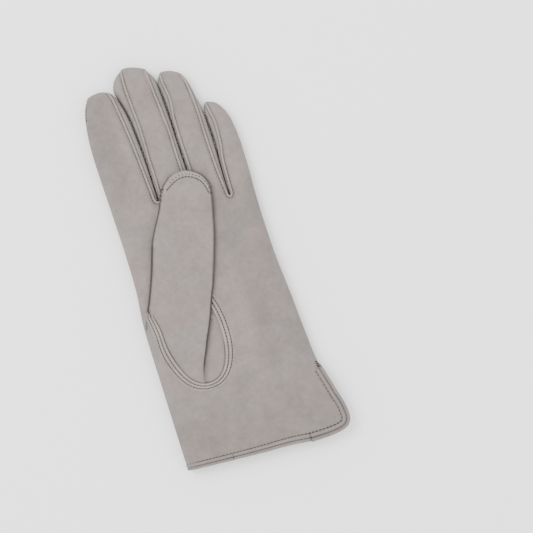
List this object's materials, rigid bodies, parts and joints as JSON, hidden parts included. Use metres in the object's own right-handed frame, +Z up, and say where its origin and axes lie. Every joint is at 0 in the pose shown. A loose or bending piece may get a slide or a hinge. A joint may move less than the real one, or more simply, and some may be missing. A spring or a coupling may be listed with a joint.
{
  "type": "leather dress glove",
  "caption": "Unlined suede dress glove for the left hand, palm up with the thumb folded over it, with stitched seams and a bound cuff that has a vent at the side.",
  "frame": {"origin": "middle of the bounding box's underside, on the surface that the glove lies on", "axes": "+Z up, out of the palm; +Y along the glove from the cuff to the fingertips; +X from the index finger's side to the little finger's side"},
  "size_m": [0.1032, 0.249, 0.0201],
  "materials": {
    "suede": "matte suede",
    "suede_sides": "matte suede",
    "suede_binding": "matte suede",
    "stitching": "matte thread",
    "dark_stitching": "matte thread"
  },
  "bodies": {
    "root": {"trank": "suede", "thumb": "suede", "fourchette_index_middle": "suede_sides", "fourchette_middle_ring": "suede_sides", "fourchette_ring_little": "suede_sides", "cuff_binding": "suede_binding"}
  },
  "joints": []
}
